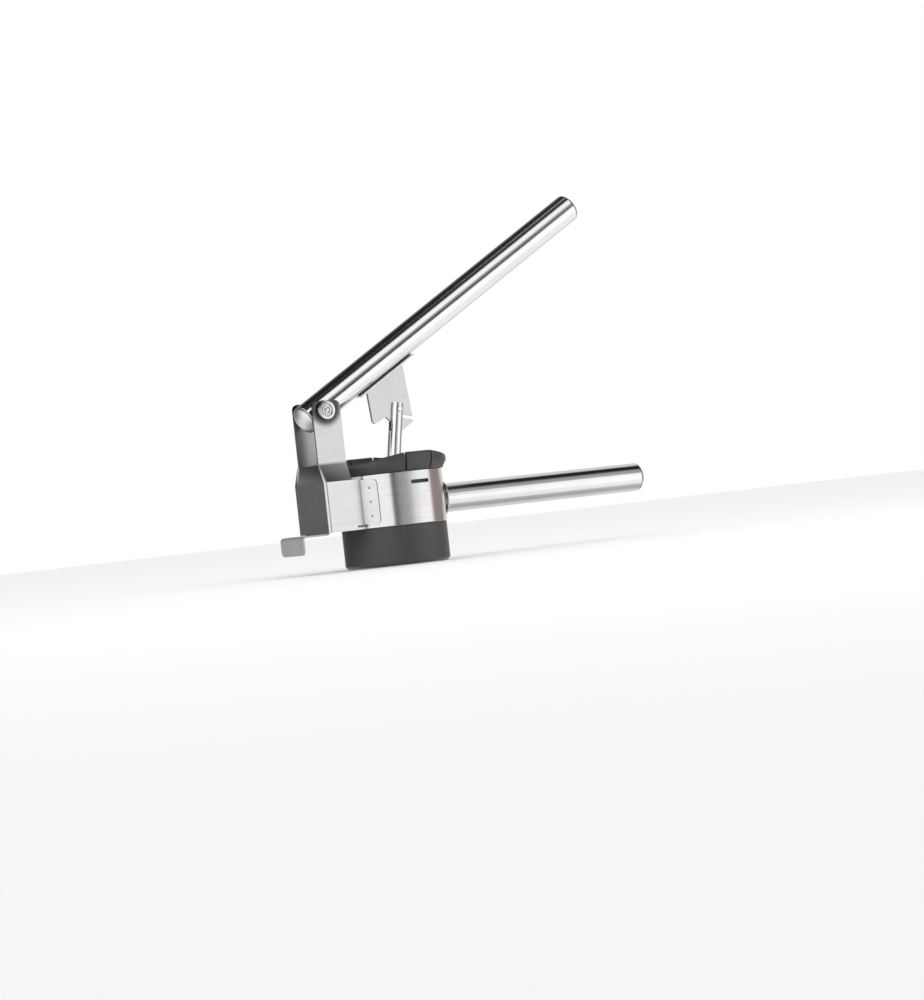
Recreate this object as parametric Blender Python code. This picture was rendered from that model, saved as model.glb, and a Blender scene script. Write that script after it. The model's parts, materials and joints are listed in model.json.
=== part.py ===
"""Potato ricer: a steel collar on a folded yoke, a drop-in cup, and a long hinged lever with a plunger.

Frame: the origin is at the middle of the cup's foot, on the table. +Z is up and +X runs to the handles.
The ricer stands as it is held, with the lever part way down and the press plate inside the cup.
"""
import math

import bmesh
import bpy
from mathutils import Vector

MM = 0.001
GAP = 0.3 * MM                      # clearance between pieces that touch

# Collar and cup
COLLAR_OUTER_R = 42.6 * MM
COLLAR_INNER_R = 41.6 * MM
COLLAR_LOW = 31.3 * MM
COLLAR_HIGH = 73.2 * MM
WINDOW_SIZE = (17.0 * MM, 3.0 * MM)
WINDOW_X = 2.4 * MM
WINDOW_Z = 64.5 * MM
CUP_R = 42.2 * MM
CUP_NECK_R = 41.2 * MM
CUP_BORE_R = 38.8 * MM
RIM_R = 46.9 * MM
RIM_TOP = 88.2 * MM

# Yoke, folded from one sheet
SHEET = 1.5 * MM
YOKE_LOW = 31.3 * MM
LOWER_BEND = 70.9 * MM
UPPER_BEND = 85.3 * MM
EAR_TOP = 135.0 * MM
EAR_REAR = -73.0 * MM
EAR_FRONT = -47.6 * MM
EAR_MIDDLE_Y = 15.25 * MM           # middle of the ear's sheet
EAR_CORNER_R = 4.5 * MM
REAR_WALL_X = -73.3 * MM
REAR_WALL_HALF = 23.7 * MM
REAR_CORNER_R = 1.8 * MM
FLANGE_FROM = math.radians(45)      # round the collar, from -Y towards -X
FLANGE_TO = math.radians(63.5)
FLANGE_CORNER_R = 4.0 * MM
FLANGE_LOW_STEP = 2.6 * MM          # the flange is narrower than the wall, below and above
FLANGE_HIGH_STEP = 0.9 * MM
RELIEF_SLOT = (-46.4 * MM, -37.8 * MM, 33.1 * MM, 34.7 * MM)   # X and Z limits, at each seam's foot

# Lever and its pivot
PIVOT = Vector((-61.5 * MM, 0, 127.6 * MM))
LEVER_ANGLE = math.radians(29.7)
LEVER_R = 11.7 * MM
TUBE_WALL = 1.0 * MM
LEVER_REAR = -11.0 * MM             # along the lever, from the pivot
LEVER_FRONT = 303.0 * MM
PIN_R = 4.0 * MM
HEAD_R = 7.5 * MM

# Plunger
SEAT = Vector((75.5 * MM, 0, -3.7 * MM))     # cross pin from the pivot, in the rest pose
STEM_LEAN = math.radians(10.45)
STEM_LENGTH = 77.2 * MM             # cross pin to foot pin
STEM_R = 5.5 * MM
STEM_TOP = 5.0 * MM                 # above the cross pin
FORK_DEPTH = 25.0 * MM
FORK_GAP = 3.6 * MM
PLATE_THICKNESS = 2.5 * MM
CROSS_PIN_R = 2.0 * MM
PRESS_LOW = 39.5 * MM               # underside of the press plate
PRESS_R = 37.8 * MM
FOOT_Z = 48.0 * MM
CLEVIS_PIN_R = 1.6 * MM
CLEVIS_INSIDE = 6.1 * MM            # half the gap between the cheeks
CLEVIS_SLOT = (-15.6 * MM, 2.2 * MM, 3.1 * MM)     # rear and front ends, and half height

# Lower handle
HANDLE_Z = 49.0 * MM
HANDLE_R = 11.7 * MM
HANDLE_START = 45.5 * MM
HANDLE_END = 241.0 * MM
FLANGE_R = 16.0 * MM
FLANGE_THICKNESS = 1.3 * MM

# Pot rest
REST_WIDTH = 35.5 * MM
REST_REAR = -95.6 * MM
REST_LIP_LOW = 16.0 * MM
REST_TOP = 31.0 * MM

# Turns that lay a lathe shape along an axis
ALONG_X = (0, math.pi / 2, 0)
ALONG_Y = (-math.pi / 2, 0, 0)


def clear_scene():
    for old in list(bpy.data.objects):
        bpy.data.objects.remove(old, do_unlink=True)


def material(name, colour, roughness, metallic):
    mat = bpy.data.materials.new(name)
    mat.use_nodes = True
    shader = mat.node_tree.nodes["Principled BSDF"]
    shader.inputs["Base Color"].default_value = (*colour, 1)
    shader.inputs["Roughness"].default_value = roughness
    shader.inputs["Metallic"].default_value = metallic
    return mat


def place(name, mesh_data, mat, parent=None, location=(0, 0, 0), rotation=(0, 0, 0)):
    """Turn a bmesh into a named, shaded object."""
    bmesh.ops.recalc_face_normals(mesh_data, faces=mesh_data.faces)
    mesh = bpy.data.meshes.new(name)
    mesh_data.to_mesh(mesh)
    mesh_data.free()
    mesh.shade_smooth()
    mesh.set_sharp_from_angle(angle=math.radians(30))
    piece = bpy.data.objects.new(name, mesh)
    bpy.context.collection.objects.link(piece)
    if mat:
        mesh.materials.append(mat)
    piece.parent = parent
    piece.location = location
    piece.rotation_euler = rotation
    return piece


def joint_axis(name, location, rotation=(0, 0, 0)):
    axis = bpy.data.objects.new(name, None)
    bpy.context.collection.objects.link(axis)
    axis.empty_display_size = 10 * MM
    axis.location = location
    axis.rotation_euler = rotation
    return axis


def turned(profile, segments, ring=False):
    """A lathe shape about Z from (radius, height) points; a ring's profile closes on itself."""
    shape = bmesh.new()
    loops = []
    for radius, height in profile:
        if radius == 0:
            loops.append([shape.verts.new((0, 0, height))])
            continue
        turns = [2 * math.pi * i / segments for i in range(segments)]
        loops.append([shape.verts.new((radius * math.cos(a), radius * math.sin(a), height)) for a in turns])
    pairs = list(zip(loops, loops[1:]))
    if ring:
        pairs.append((loops[-1], loops[0]))
    for first, second in pairs:
        for i in range(segments):
            j = (i + 1) % segments
            corners = [first[i % len(first)], first[j % len(first)],
                       second[j % len(second)], second[i % len(second)]]
            shape.faces.new(list(dict.fromkeys(corners)))
    return shape


def prism(outline, low, high):
    """A flat plate in the XZ plane, from Y low to Y high."""
    shape = bmesh.new()
    near = [shape.verts.new((x, low, z)) for x, z in outline]
    far = [shape.verts.new((x, high, z)) for x, z in outline]
    shape.faces.new(near)
    shape.faces.new(far[::-1])
    for i in range(len(outline)):
        j = (i + 1) % len(outline)
        shape.faces.new((near[i], far[i], far[j], near[j]))
    return shape


def box(low, high):
    return prism([(low[0], low[2]), (high[0], low[2]), (high[0], high[2]), (low[0], high[2])], low[1], high[1])


def arc(centre, radius, start, end, steps):
    """Points on an arc, with angles in degrees."""
    angles = [math.radians(start + (end - start) * i / steps) for i in range(steps + 1)]
    return [(centre[0] + radius * math.cos(a), centre[1] + radius * math.sin(a)) for a in angles]


def cylinder(radius, low, high, segments=32):
    return turned([(0, low), (radius, low), (radius, high), (0, high)], segments)


def cut(piece, name, cutter_shape, location=(0, 0, 0), rotation=(0, 0, 0)):
    """Cut a shape out of a piece; the cutter shares the piece's parent."""
    cutter = place("cut_" + name, cutter_shape, None, piece.parent, location, rotation)
    cutter.hide_render = True
    cutter.display_type = "WIRE"
    boolean = piece.modifiers.new("cut " + name, "BOOLEAN")
    boolean.operation = "DIFFERENCE"
    boolean.solver = "EXACT"
    boolean.object = cutter


def make_collar():
    profile = [(COLLAR_INNER_R, COLLAR_LOW), (COLLAR_OUTER_R, COLLAR_LOW),
               (COLLAR_OUTER_R, COLLAR_HIGH), (COLLAR_INNER_R, COLLAR_HIGH)]
    collar = place("collar_band", turned(profile, 72, ring=True), steel)
    half_width, half_height = WINDOW_SIZE[0] / 2, WINDOW_SIZE[1] / 2
    window = box((WINDOW_X - half_width, -60 * MM, WINDOW_Z - half_height),
                 (WINDOW_X + half_width, 60 * MM, WINDOW_Z + half_height))
    cut(collar, "latch_windows", window)


def make_cup():
    """The cup snaps in from below: its foot meets the collar's lower edge and its rim hooks over the top."""
    foot = arc((CUP_R - 3 * MM, 3 * MM), 3 * MM, -90, 0, 3)
    lip = 3 * MM
    profile = [(CUP_BORE_R - lip, 0), *foot, (CUP_R, COLLAR_LOW - GAP), (CUP_NECK_R, COLLAR_LOW - GAP),
               (CUP_NECK_R, COLLAR_HIGH + GAP), (43.7 * MM, COLLAR_HIGH + GAP), (45.8 * MM, 78 * MM),
               (RIM_R, 81.5 * MM), (RIM_R, RIM_TOP - 1.5 * MM), (RIM_R - 1.5 * MM, RIM_TOP),
               (42.5 * MM, RIM_TOP), (41.2 * MM, 81 * MM), (CUP_BORE_R, 73 * MM),
               (CUP_BORE_R, 1.5 * MM), (CUP_BORE_R - lip, 1.5 * MM)]
    place("insert_cup", turned(profile, 60, ring=True), black_plastic)
    dish = [(0, 0), (34.4 * MM, 0), (35.2 * MM, 1.8 * MM), (38.4 * MM, 1.8 * MM),
            (38.4 * MM, 2.6 * MM), (34.6 * MM, 2.6 * MM), (33.8 * MM, 0.8 * MM), (0, 0.8 * MM)]
    place("sieve_disc", turned(dish, 48), steel)


def make_yoke():
    """One folded sheet, built on its middle surface: flange, side wall and rear corner, then mirrored."""
    flange_r = COLLAR_OUTER_R + GAP + SHEET / 2
    corner_angle = FLANGE_CORNER_R / flange_r
    steps = [0, 0.15, 0.45, 1]
    angles = [FLANGE_FROM + corner_angle * s for s in steps]
    angles += [FLANGE_FROM + 2 * corner_angle, FLANGE_TO - math.radians(2.5), FLANGE_TO]
    path = [(-flange_r * math.sin(a), -flange_r * math.cos(a)) for a in angles]
    corner_insets = [FLANGE_CORNER_R * (1 - math.sqrt(1 - (1 - s) ** 2)) for s in steps] + [0, 0]
    seam = len(path) - 1

    centre = (REAR_WALL_X + REAR_CORNER_R, -REAR_WALL_HALF + REAR_CORNER_R)
    slope = math.atan2(REAR_WALL_HALF + path[seam][1], path[seam][0] - centre[0])
    corner = arc(centre, REAR_CORNER_R, -90 - math.degrees(slope), -180, 5)
    share = (path[seam][0] - EAR_FRONT) / (path[seam][0] - corner[0][0])
    ear_foot = (EAR_FRONT, path[seam][1] + share * (corner[0][1] - path[seam][1]))
    path += [ear_foot, *corner]
    plain = [0] * (len(path) - len(corner_insets))
    low_insets = [inset + FLANGE_LOW_STEP for inset in corner_insets] + plain
    high_insets = [inset + FLANGE_HIGH_STEP for inset in corner_insets] + plain

    half = len(path)
    path += [(x, -y) for x, y in reversed(path)]
    sheet = bmesh.new()
    low = [sheet.verts.new((x, y, YOKE_LOW + inset))
           for (x, y), inset in zip(path, low_insets + low_insets[::-1])]
    high = [sheet.verts.new((x, y, LOWER_BEND - inset))
            for (x, y), inset in zip(path, high_insets + high_insets[::-1])]
    for i in range(len(path) - 1):
        sheet.faces.new((low[i], low[i + 1], high[i + 1], high[i]))

    r = EAR_CORNER_R
    outline = [(EAR_FRONT, UPPER_BEND), *arc((EAR_FRONT - r, EAR_TOP - r), r, 0, 90, 5),
               *arc((EAR_REAR + r, EAR_TOP - r), r, 90, 180, 5), (EAR_REAR, UPPER_BEND)]
    seams = [(low[seam], high[seam]), (low[-1 - seam], high[-1 - seam])]
    bends = []
    for side in (-1, 1):
        bend = high[seam + 1:half] if side < 0 else high[half:2 * half - seam - 1][::-1]
        ear = [sheet.verts.new((x, side * EAR_MIDDLE_Y, z)) for x, z in outline]
        sheet.faces.new(ear)
        sheet.faces.new((bend[0], bend[1], ear[-1], ear[0]))
        for first, second in zip(bend[1:], bend[2:]):
            sheet.faces.new((first, second, ear[-1]))
        bends.append((ear[0], ear[-1]))
    bmesh.ops.recalc_face_normals(sheet, faces=sheet.faces)
    for pairs, width in ((bends, 1.4 * MM), (seams, 0.5 * MM)):
        edges = [sheet.edges.get(pair) for pair in pairs]
        bmesh.ops.bevel(sheet, geom=edges, offset=width, segments=2, profile=0.5, affect="EDGES")

    yoke = place("rear_yoke", sheet, steel)
    thick = yoke.modifiers.new("sheet thickness", "SOLIDIFY")
    thick.thickness = SHEET
    thick.offset = 0
    thick.use_even_offset = True
    cut(yoke, "ear_holes", cylinder(PIN_R + GAP, -30 * MM, 30 * MM), PIVOT, ALONG_Y)
    rear, front, slot_low, slot_high = RELIEF_SLOT
    cut(yoke, "relief_slots", box((rear, -40 * MM, slot_low), (front, 40 * MM, slot_high)))


def make_pot_rest():
    """A Z-shaped strip: a tab inside the rear wall, a tongue under it, and a lip that hooks on a pot."""
    tab = REAR_WALL_X + SHEET / 2 + GAP
    outline = [(tab + SHEET, REST_TOP + 18 * MM), (tab, REST_TOP + 18 * MM), (tab, REST_TOP),
               *arc((REST_REAR + 3 * MM, REST_TOP - 3 * MM), 3 * MM, 90, 180, 4), (REST_REAR, REST_LIP_LOW),
               (REST_REAR + SHEET, REST_LIP_LOW),
               *arc((REST_REAR + 3 * MM, REST_TOP - 3 * MM), 1.5 * MM, 180, 90, 4),
               *arc((tab, REST_TOP), SHEET, -90, 0, 3)]
    rest = place("pot_rest", prism(outline, -REST_WIDTH / 2, REST_WIDTH / 2), grey_steel)
    for side in (-1, 1):
        edge, r = side * REST_WIDTH / 2, 4 * MM
        curve = arc((edge - side * r, REST_LIP_LOW + r), r, -90, 0 if side > 0 else -180, 4)
        points = [*curve, (edge + side * r, REST_LIP_LOW + r), (edge + side * r, REST_LIP_LOW - r),
                  (edge - side * r, REST_LIP_LOW - r)]
        corner = prism(points, -5 * MM, 5 * MM)
        bmesh.ops.recalc_face_normals(corner, faces=corner.faces)
        cut(rest, "lip_corner_%d" % side, corner, (REST_REAR, 0, 0), (0, 0, math.pi / 2))


def make_handle():
    """Flange, tube and end cap along +X, at right angles to the collar."""
    face = HANDLE_START - GAP
    step = face - FLANGE_THICKNESS
    base = turned([(0, 38 * MM), (HANDLE_R, 38 * MM), (HANDLE_R, step), (FLANGE_R, step),
                   (FLANGE_R, face), (0, face)], 40)
    flange = place("handle_flange", base, steel, None, (0, 0, HANDLE_Z), ALONG_X)
    saddle = cylinder(COLLAR_OUTER_R + GAP, -20 * MM, 20 * MM, 72)
    cut(flange, "saddle", saddle, (0, 0, HANDLE_Z))
    inner = HANDLE_R - TUBE_WALL
    tube = [(inner, HANDLE_START), (HANDLE_R, HANDLE_START), (HANDLE_R, HANDLE_END), (inner, HANDLE_END)]
    place("handle_tube", turned(tube, 40, ring=True), polished, None, (0, 0, HANDLE_Z), ALONG_X)
    place("handle_end_cap", end_cap(HANDLE_R, HANDLE_END, 4.5 * MM), steel, None, (0, 0, HANDLE_Z), ALONG_X)


def end_cap(radius, at, bulge):
    """A domed cap with a short plug inside the tube, opening towards -Z."""
    plug = radius - TUBE_WALL - GAP
    dome = [(radius * math.cos(a), at + GAP + bulge * math.sin(a)) for a in
            [math.radians(15 * i) for i in range(6)]]
    return turned([(0, at - 5 * MM), (plug, at - 5 * MM), (plug, at + GAP), *dome, (0, at + GAP + bulge)], 40)


def make_lever(axis):
    """The lever's own frame: origin on the pivot, +X along the tube, +Z over it."""
    inner = LEVER_R - TUBE_WALL
    profile = [(inner, LEVER_REAR), (LEVER_R, LEVER_REAR), (LEVER_R, LEVER_FRONT), (inner, LEVER_FRONT)]
    tube = place("lever_tube", turned(profile, 40, ring=True), polished, axis, (0, 0, 0), ALONG_X)
    sleeve_outer = PIN_R + 1.5 * MM
    cut(tube, "sleeve_hole", cylinder(sleeve_outer + GAP, -20 * MM, 20 * MM), (0, 0, 0), ALONG_Y)
    place("lever_front_cap", end_cap(LEVER_R, LEVER_FRONT, 3.5 * MM), steel, axis, (0, 0, 0), ALONG_X)
    rear = end_cap(LEVER_R, -LEVER_REAR, 5.5 * MM)
    bmesh.ops.delete(rear, geom=[v for v in rear.verts if v.co.z < -LEVER_REAR - MM], context="VERTS")
    rim = [e for e in rear.edges if e.is_boundary]
    bmesh.ops.contextual_create(rear, geom=rim)
    place("lever_rear_cap", rear, polished, axis, (0, 0, 0), (0, -math.pi / 2, 0))

    ear_inner = EAR_MIDDLE_Y - SHEET / 2
    sleeve_bore = PIN_R + 0.1 * MM
    half = ear_inner - GAP
    sleeve = [(sleeve_bore, -half), (sleeve_outer, -half), (sleeve_outer, half), (sleeve_bore, half)]
    place("pivot_sleeve", turned(sleeve, 32, ring=True), steel, axis, (0, 0, 0), ALONG_Y)
    bush_from = LEVER_R + GAP
    bush = [(sleeve_outer + GAP, bush_from), (8 * MM, bush_from), (8 * MM, half), (sleeve_outer + GAP, half)]
    place("pivot_bush_far", turned(bush, 32, ring=True), black_plastic, axis, (0, 0, 0), ALONG_Y)
    place("pivot_bush_near", turned(bush, 32, ring=True), black_plastic, axis, (0, 0, 0),
          (math.pi / 2, 0, 0))
    make_bracket(axis)


def make_bracket(axis):
    """A strip welded under the tube and a hooked plate below it; the cross pin sits up in the hook."""
    strip_top = -LEVER_R - GAP
    strip_low = strip_top - SHEET
    strip = box((39.5 * MM, -6 * MM, strip_low), (101 * MM, 6 * MM, strip_top))
    place("bracket_strip", strip, steel, axis)

    plate_top = strip_low - GAP
    seat = Vector((SEAT.x * math.cos(LEVER_ANGLE) + SEAT.z * math.sin(LEVER_ANGLE), 0,
                   SEAT.z * math.cos(LEVER_ANGLE) - SEAT.x * math.sin(LEVER_ANGLE)))
    turn = -math.degrees(LEVER_ANGLE)
    hook = arc((seat.x, seat.z), CROSS_PIN_R + GAP, 180 + turn, turn, 8)
    tip = arc((40.6 * MM, -36.8 * MM), 2 * MM, 160, 275, 4)
    lobe = arc((59.5 * MM, -53.5 * MM), 3.7 * MM, 190, 270, 4)
    outline = [(48.9 * MM, plate_top), *tip, (51.1 * MM, -39.6 * MM), (52.5 * MM, -44.4 * MM), *lobe,
               (69.6 * MM, -57.2 * MM), (71.1 * MM, -56.4 * MM),
               (70.45 * MM, -55.4 * MM), (58.9 * MM, -44.7 * MM), *hook,
               (63.9 * MM, -45.2 * MM), (72.5 * MM, -53.2 * MM), (90.0 * MM, plate_top)]
    half = PLATE_THICKNESS / 2
    place("bracket_plate", prism(outline, -half, half), steel, axis)


def make_pivot():
    """The pin's ringed head is on the near ear, and a push-on cap holds its other end."""
    outside = EAR_MIDDLE_Y + SHEET / 2 + GAP
    end = outside + 2.5 * MM
    head = [(0, -outside - 3.4 * MM), (2.0 * MM, -outside - 3.4 * MM), (2.3 * MM, -outside - 2.6 * MM),
            (3.4 * MM, -outside - 2.6 * MM), (3.9 * MM, -outside - 3.2 * MM), (6.4 * MM, -outside - 3.2 * MM),
            (HEAD_R, -outside - 2.2 * MM), (HEAD_R, -outside), (PIN_R, -outside), (PIN_R, end), (0, end)]
    place("pivot_pin", turned(head, 32), polished, None, PIVOT, ALONG_Y)
    bore = PIN_R + GAP
    cap = [(bore, outside), (HEAD_R, outside), (HEAD_R, outside + 2.2 * MM), (6.4 * MM, outside + 3.4 * MM),
           (0, outside + 3.4 * MM), (0, end + GAP), (bore, end + GAP)]
    place("pivot_cap", turned_cup(cap), polished, None, PIVOT, ALONG_Y)


def turned_cup(profile):
    """A lathe shape whose blind bore opens at the first point, so its profile closes on itself."""
    shape = turned(profile[:5], 32)
    inner = turned([profile[5], profile[6], profile[0]], 32)
    mesh = bpy.data.meshes.new("bore")
    inner.to_mesh(mesh)
    inner.free()
    shape.from_mesh(mesh)
    bpy.data.meshes.remove(mesh)
    bmesh.ops.remove_doubles(shape, verts=shape.verts, dist=0.001 * MM)
    return shape


def make_stem(axis):
    """The stem's own frame: origin on the cross pin, +Z up the stem."""
    low = -STEM_LENGTH + 7 * MM
    inner = STEM_R - TUBE_WALL
    profile = [(inner, low), (STEM_R, low), (STEM_R, STEM_TOP), (inner, STEM_TOP)]
    stem = place("plunger_stem", turned(profile, 32, ring=True), polished, axis)
    fork = box((-10 * MM, -FORK_GAP / 2, STEM_TOP - FORK_DEPTH), (10 * MM, FORK_GAP / 2, STEM_TOP + 5 * MM))
    cut(stem, "fork", fork)
    pin_hole = CROSS_PIN_R + GAP
    cut(stem, "cross_pin_hole", cylinder(pin_hole, -10 * MM, 10 * MM, 24), (0, 0, 0), ALONG_Y)
    reach = STEM_R + 0.3 * MM
    place("cross_pin", cylinder(CROSS_PIN_R, -reach, reach, 24), polished, axis, (0, 0, 0), ALONG_Y)

    top = -STEM_LENGTH + 18 * MM
    plug = [(0, -STEM_LENGTH - 2.9 * MM), (3.0 * MM, -STEM_LENGTH - 2.6 * MM), (4.2 * MM, -STEM_LENGTH - MM),
            (4.2 * MM, top), (0, top)]
    foot = place("stem_foot", turned(plug, 24), steel, axis)
    cut(foot, "foot_pin_hole", cylinder(CLEVIS_PIN_R + 0.2 * MM, -10 * MM, 10 * MM, 24),
        (0, 0, -STEM_LENGTH), ALONG_Y)
    place("foot_pin", cylinder(CLEVIS_PIN_R, -8.6 * MM, 8.6 * MM, 20), steel, axis,
          (0, 0, -STEM_LENGTH), ALONG_Y)


def make_press_plate(axis):
    """The plunger's foot slides in the clevis's long slots as the lever swings."""
    rim = 1.2 * MM
    disc = [(0, PRESS_LOW), (PRESS_R - rim, PRESS_LOW), (PRESS_R, PRESS_LOW + rim),
            (PRESS_R, PRESS_LOW + 2 * MM), (0, PRESS_LOW + 2 * MM)]
    place("press_plate", turned(disc, 60), steel, axis, (0, 0, -FOOT_Z))
    base_low = PRESS_LOW + 2 * MM + GAP - FOOT_Z
    base_high = base_low + 1.4 * MM
    top = 5.2 * MM
    clevis = bmesh.new()
    outer = CLEVIS_INSIDE + 1.6 * MM
    outline = [(-outer, base_low), (outer, base_low), (outer, top), (CLEVIS_INSIDE, top),
               (CLEVIS_INSIDE, base_high), (-CLEVIS_INSIDE, base_high), (-CLEVIS_INSIDE, top), (-outer, top)]
    rear, front = CLEVIS_SLOT[0] - 2.4 * MM, CLEVIS_SLOT[1] + 2.4 * MM
    ends = [[clevis.verts.new((x, y, z)) for y, z in outline] for x in (rear, front)]
    clevis.faces.new(ends[0])
    clevis.faces.new(ends[1][::-1])
    for i in range(len(outline)):
        j = (i + 1) % len(outline)
        clevis.faces.new((ends[0][i], ends[1][i], ends[1][j], ends[0][j]))
    bracket = place("foot_clevis", clevis, steel, axis)
    r = CLEVIS_SLOT[2]
    slot = arc((CLEVIS_SLOT[1] - r, 0), r, -90, 90, 6) + arc((CLEVIS_SLOT[0] + r, 0), r, 90, 270, 6)
    cut(bracket, "foot_slots", prism(slot, -20 * MM, 20 * MM))


clear_scene()
steel = material("brushed steel", (0.62, 0.61, 0.60), 0.32, 1.0)
polished = material("polished steel", (0.70, 0.69, 0.68), 0.14, 1.0)
grey_steel = material("grey blasted steel", (0.42, 0.41, 0.41), 0.5, 1.0)
black_plastic = material("black plastic", (0.022, 0.023, 0.024), 0.45, 0.0)

make_collar()
make_cup()
make_yoke()
make_pot_rest()
make_handle()
lever_axis = joint_axis("lever_axis", PIVOT, (0, -LEVER_ANGLE, 0))
make_lever(lever_axis)
make_pivot()
stem_axis = joint_axis("stem_axis", PIVOT + SEAT, (0, STEM_LEAN, 0))
make_stem(stem_axis)
plate_axis = joint_axis("plate_axis", (0, 0, FOOT_Z))
make_press_plate(plate_axis)
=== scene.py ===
"""Potato ricer, dressed for the camera: every piece gets its finish, edges and small details here."""
import json
import math

import bpy
from mathutils import Matrix, Vector


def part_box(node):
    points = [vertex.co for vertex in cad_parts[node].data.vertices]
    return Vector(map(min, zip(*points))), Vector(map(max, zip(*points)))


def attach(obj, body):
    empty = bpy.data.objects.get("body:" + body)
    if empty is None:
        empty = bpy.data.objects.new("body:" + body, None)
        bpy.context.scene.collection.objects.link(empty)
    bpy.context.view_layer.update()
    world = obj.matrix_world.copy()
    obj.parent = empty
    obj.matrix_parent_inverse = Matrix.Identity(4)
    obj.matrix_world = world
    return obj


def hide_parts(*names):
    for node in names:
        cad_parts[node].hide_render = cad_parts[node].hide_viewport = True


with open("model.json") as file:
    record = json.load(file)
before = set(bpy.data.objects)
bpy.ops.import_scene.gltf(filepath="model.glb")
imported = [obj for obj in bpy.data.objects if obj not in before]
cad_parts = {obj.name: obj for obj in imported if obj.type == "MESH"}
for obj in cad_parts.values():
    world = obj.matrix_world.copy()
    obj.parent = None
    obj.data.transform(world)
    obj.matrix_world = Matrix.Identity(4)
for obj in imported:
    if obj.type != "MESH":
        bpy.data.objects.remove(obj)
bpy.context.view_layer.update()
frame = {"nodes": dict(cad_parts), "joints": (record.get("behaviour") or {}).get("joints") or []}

MM = 0.001

# ---------------------------------------------------------------------------------------------
# Camera and studio. A long lens looks at the ricer level, from behind its near side. The tool is
# held tipped back a little, so the camera is rolled. Cards of light and shade stand all round.
# ---------------------------------------------------------------------------------------------
VIEW_TURN = math.radians(33)
ROLL = math.radians(6.3)
CAMERA_AWAY = 2.6
FRAME_HEIGHT = 0.8

across = Vector((math.cos(VIEW_TURN), -math.sin(VIEW_TURN), 0))
towards = Vector((-math.sin(VIEW_TURN), -math.cos(VIEW_TURN), 0))
up = Vector((0, 0, 1))
aim = across * 0.0562 + up * 0.0457
right = across * math.cos(ROLL) - up * math.sin(ROLL)
top = across * math.sin(ROLL) + up * math.cos(ROLL)
pose = Matrix((right, top, towards)).transposed().to_4x4()
pose.translation = aim + towards * CAMERA_AWAY
bpy.ops.object.camera_add()
camera = bpy.context.object
camera.name = "studio_camera"
camera.matrix_world = pose
camera.data.sensor_width = 36
camera.data.lens = 36 * CAMERA_AWAY / FRAME_HEIGHT
camera.data.clip_end = 50
bpy.context.scene.camera = camera
bpy.context.scene.view_settings.view_transform = "Standard"


class Signal:
    """An output socket that can be added to, multiplied and so on, so shader maths reads as sums."""

    def __init__(self, finish, socket):
        self.finish = finish
        self.socket = socket

    def maths(self, operation, first, second=0.0):
        return self.finish.node("ShaderNodeMath", {"operation": operation}, {0: first, 1: second})

    def __add__(self, other):
        return self.maths("ADD", self, other)

    def __mul__(self, other):
        return self.maths("MULTIPLY", self, other)

    __radd__ = __add__
    __rmul__ = __mul__


class Finish:
    """A node tree being filled: node() adds one node and gives its output as a Signal."""

    def __init__(self, tree):
        self.tree = tree

    def node(self, kind, settings=None, inputs=None, output=0):
        new = self.tree.nodes.new(kind)
        for name, value in (settings or {}).items():
            if name == "stops":
                self.fill_ramp(new.color_ramp, value)
            else:
                setattr(new, name, value)
        for name, value in (inputs or {}).items():
            self.feed(new.inputs[name], value)
        return Signal(self, new.outputs[output]) if new.outputs else None

    def feed(self, socket, value):
        if isinstance(value, Signal):
            self.tree.links.new(value.socket, socket)
        else:
            socket.default_value = value

    def fill_ramp(self, ramp, stops):
        while len(ramp.elements) < len(stops):
            ramp.elements.new(1)
        for element, (position, shade) in zip(ramp.elements, stops):
            element.position = position
            element.color = (*shade, 1) if isinstance(shade, tuple) else (shade, shade, shade, 1)


def height_at(degrees):
    """A height in degrees above the horizon as a ramp position, from straight down at 0 to up at 1."""
    return 0.5 + 0.5 * math.sin(math.radians(degrees))


def bearing_at(degrees):
    """A bearing in degrees, 0 at the camera and positive to its right, as a ramp position."""
    return 0.5 + degrees / 360


world = bpy.data.worlds.new("studio")
bpy.context.scene.world = world
world.use_nodes = True
world.node_tree.nodes.clear()
sky = Finish(world.node_tree)
ray = sky.node("ShaderNodeTexCoord")


def ray_along(direction):
    return sky.node("ShaderNodeVectorMath", {"operation": "DOT_PRODUCT"}, {0: ray, 1: direction},
                    output="Value")


def card(position, *stops):
    """Light and shade across the studio, as stops of a ramp over a bearing or a height."""
    return sky.node("ShaderNodeValToRGB", {"stops": list(stops)}, {0: position})


def lay_over(under, over, share=1.0, blend="MIX"):
    return sky.node("ShaderNodeMix", {"data_type": "RGBA", "blend_type": blend},
                    {0: share, 6: under, 7: over}, output=2)


def fade(value, start, end):
    return sky.node("ShaderNodeMapRange", {"interpolation_type": "SMOOTHSTEP"},
                    {"Value": value, "From Min": start, "From Max": end})


bearing = sky.node("ShaderNodeMath", {"operation": "ARCTAN2"}, {0: ray_along(across), 1: ray_along(towards)})
elevation = sky.node("ShaderNodeSeparateXYZ", inputs={0: ray}, output="Z") * 0.5 + 0.5
turned_by = bearing * (1 / (2 * math.pi)) + 0.5

# A bright wall to the left, a narrow dark gap, a grey wall rising to a bright one, and a brown room.
WARM_LEFT, WARM_RIGHT = (0.27, 0.22, 0.205), (0.27, 0.225, 0.21)
around = card(turned_by, (bearing_at(-180), 0.60), (bearing_at(-150), 0.30), (bearing_at(-130), 0.11),
              (bearing_at(-98), 0.12), (bearing_at(-80), 0.80), (bearing_at(-60), 1.0), (bearing_at(2), 1.0),
              (bearing_at(5), 0.05), (bearing_at(12), 0.06), (bearing_at(17), 0.20), (bearing_at(30), 0.33),
              (bearing_at(42), 0.50), (bearing_at(56), 0.95), (bearing_at(95), 1.0),
              (bearing_at(103), WARM_LEFT), (bearing_at(138), WARM_RIGHT), (bearing_at(152), 0.75), (1, 0.60))

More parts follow.
